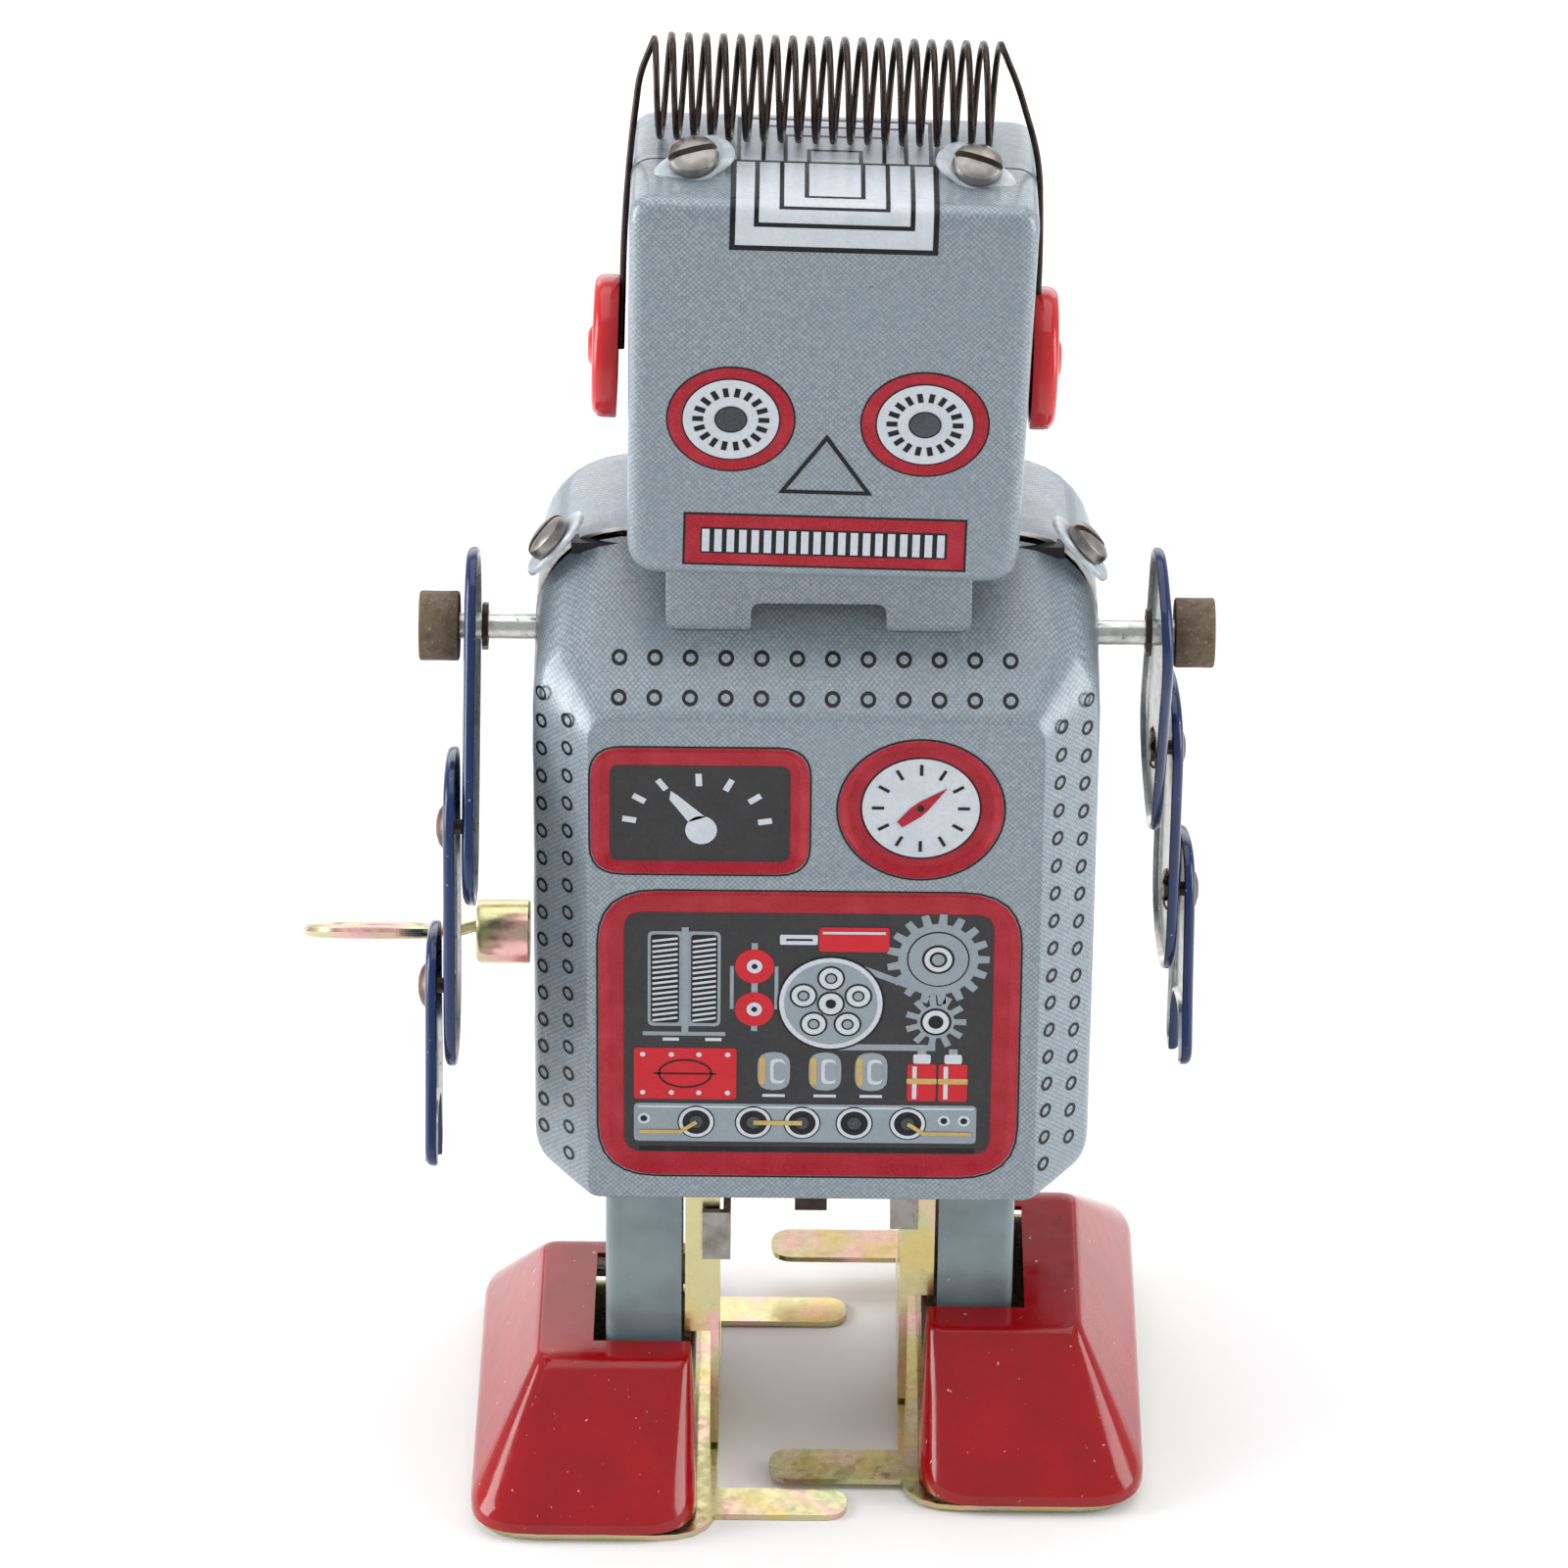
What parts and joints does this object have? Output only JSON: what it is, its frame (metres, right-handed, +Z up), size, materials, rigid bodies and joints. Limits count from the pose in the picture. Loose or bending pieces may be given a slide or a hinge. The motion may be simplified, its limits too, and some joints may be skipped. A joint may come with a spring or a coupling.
{
  "type": "clockwork tin toy robot",
  "caption": "Standing wind-up tin toy robot with a box head, coil-spring antenna, riveted arms with claw hands, a side key and stepping shoes.",
  "frame": {"origin": "middle of the bounding box, on the surface that the robot stands on", "axes": "+Z up from the floor to the antenna; the robot faces -Y; +X towards its right-hand arm in the front view, away from the winding key"},
  "size_m": [0.0738, 0.0454, 0.1217],
  "materials": {
    "printed_tin": "satin lithographed blue-gray with fine dots",
    "gray_tin": "satin slate gray",
    "red_enamel": "glossy red enamel",
    "blue_enamel": "glossy deep blue enamel, bare tin inside",
    "zinc": "yellow-passivated zinc with a faint pink iridescence",
    "steel": "bright nickel-gray steel",
    "dark_wire": "dark oil-blackened spring steel",
    "brass": "plain stamped brass",
    "bush_rubber": "matte olive brown"
  },
  "bodies": {
    "body": {"body_front_shell": "printed_tin", "body_back_shell": "printed_tin", "neck_bracket": "gray_tin", "head_front_shell": "printed_tin", "head_back_shell": "printed_tin", "ear_left": "red_enamel", "ear_right": "red_enamel", "head_screw_left": "steel", "head_screw_right": "steel", "shoulder_screw_left": "steel", "shoulder_screw_right": "steel", "antenna_spring": "dark_wire", "shoulder_axle": "steel", "arm_washer_left": "dark_wire", "arm_washer_right": "dark_wire", "arm_bush_left": "bush_rubber", "arm_bush_right": "bush_rubber", "motor_plate_left": "zinc", "motor_plate_right": "zinc", "motor_pillar_1": "steel", "motor_pillar_2": "steel", "motor_pillar_3": "steel", "mainspring": "steel", "stop_lever": "dark_wire"},
    "winding": {"winding_key": "zinc", "great_wheel": "brass"},
    "second_arbor": {"second_wheel": "brass"},
    "crank": {"crankshaft": "steel"},
    "leg_left": {"leg_frame_left": "zinc", "leg_cover_left": "gray_tin", "leg_clip_left": "steel", "foot_shell_left": "red_enamel", "sole_plate_left": "zinc"},
    "leg_right": {"leg_frame_right": "zinc", "leg_cover_right": "gray_tin", "leg_clip_right": "steel", "foot_shell_right": "red_enamel", "sole_plate_right": "zinc"},
    "upper_arm_left": {"upper_arm_left": "blue_enamel", "elbow_rivet_left": "steel"},
    "forearm_left": {"forearm_left": "blue_enamel", "wrist_rivet_left": "steel"},
    "hand_left": {"hand_left": "blue_enamel"},
    "upper_arm_right": {"upper_arm_right": "blue_enamel", "elbow_rivet_right": "steel"},
    "forearm_right": {"forearm_right": "blue_enamel", "wrist_rivet_right": "steel"},
    "hand_right": {"hand_right": "blue_enamel"}
  },
  "joints": [
    {"name": "key_turn", "type": "hinge", "parent": "body", "child": "winding", "pos_m": [-0.0185, 0.0013, 0.0434], "axis": [1, 0, 0], "continuous": true},
    {"name": "second_turn", "type": "hinge", "parent": "body", "child": "second_arbor", "pos_m": [0.0085, 0.00625, 0.03165], "axis": [1, 0, 0], "continuous": true},
    {"name": "crank_turn", "type": "hinge", "parent": "body", "child": "crank", "pos_m": [0.0085, -0.0025, 0.0315], "axis": [1, 0, 0], "continuous": true},
    {"name": "hip_left", "type": "hinge", "parent": "body", "child": "leg_left", "pos_m": [-0.0036, -0.0025, 0.046], "axis": [1, 0, 0], "range_deg": [0, 6]},
    {"name": "hip_right", "type": "hinge", "parent": "body", "child": "leg_right", "pos_m": [0.0126, -0.0025, 0.046], "axis": [1, 0, 0], "range_deg": [-6, 0]},
    {"name": "shoulder_left", "type": "hinge", "parent": "body", "child": "upper_arm_left", "pos_m": [-0.0224, 0.0003, 0.0716], "axis": [1, 0, 0], "range_deg": [-150, 0]},
    {"name": "elbow_left", "type": "hinge", "parent": "upper_arm_left", "child": "forearm_left", "pos_m": [-0.0239, -0.0077, 0.05774], "axis": [1, 0, 0], "range_deg": [-100, 0]},
    {"name": "wrist_left", "type": "hinge", "parent": "forearm_left", "child": "hand_left", "pos_m": [-0.0254, -0.00979, 0.04451], "axis": [1, 0, 0], "range_deg": [-70, 0]},
    {"name": "shoulder_right", "type": "hinge", "parent": "body", "child": "upper_arm_right", "pos_m": [0.0314, 0.0003, 0.0716], "axis": [1, 0, 0], "range_deg": [-170, 50]},
    {"name": "elbow_right", "type": "hinge", "parent": "upper_arm_right", "child": "forearm_right", "pos_m": [0.0329, 0.00781, 0.05747], "axis": [1, 0, 0], "range_deg": [-75, 40]},
    {"name": "wrist_right", "type": "hinge", "parent": "forearm_right", "child": "hand_right", "pos_m": [0.0344, 0.00851, 0.04409], "axis": [1, 0, 0], "range_deg": [-40, 50]}
  ],
  "couplings": [
    {"joint": "second_turn", "follows": "key_turn", "ratio": -4},
    {"joint": "crank_turn", "follows": "key_turn", "ratio": 9.6},
    {"joint": "hip_right", "follows": "hip_left", "ratio": -1}
  ]
}
